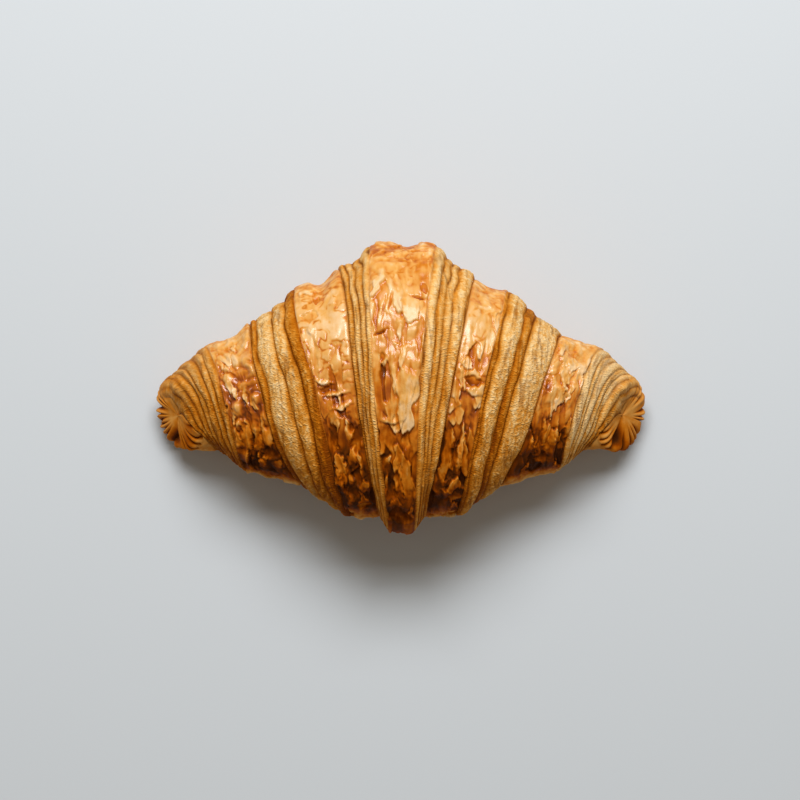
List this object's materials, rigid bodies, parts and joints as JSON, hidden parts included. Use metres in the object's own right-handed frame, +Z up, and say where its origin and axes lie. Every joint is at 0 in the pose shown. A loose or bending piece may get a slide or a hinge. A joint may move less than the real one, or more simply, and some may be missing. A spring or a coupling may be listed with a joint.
{
  "type": "croissant",
  "caption": "Baked croissant of rolled, laminated dough: stepped turns with cut layers, pleated ends, a tail down the front and a flat base to rest on.",
  "frame": {"origin": "centre of the bounding box in X and Y, at the height of the base it rests on", "axes": "+X along the croissant from tip to tip, +Y to the back, away from the tail that hangs down the front, +Z up"},
  "size_m": [0.16, 0.093, 0.058],
  "materials": {
    "crust": "egg-washed golden-brown crust, glossy on the turns' skins and matt on the cut layers"
  },
  "bodies": {
    "root": {"croissant": "crust"}
  },
  "joints": []
}
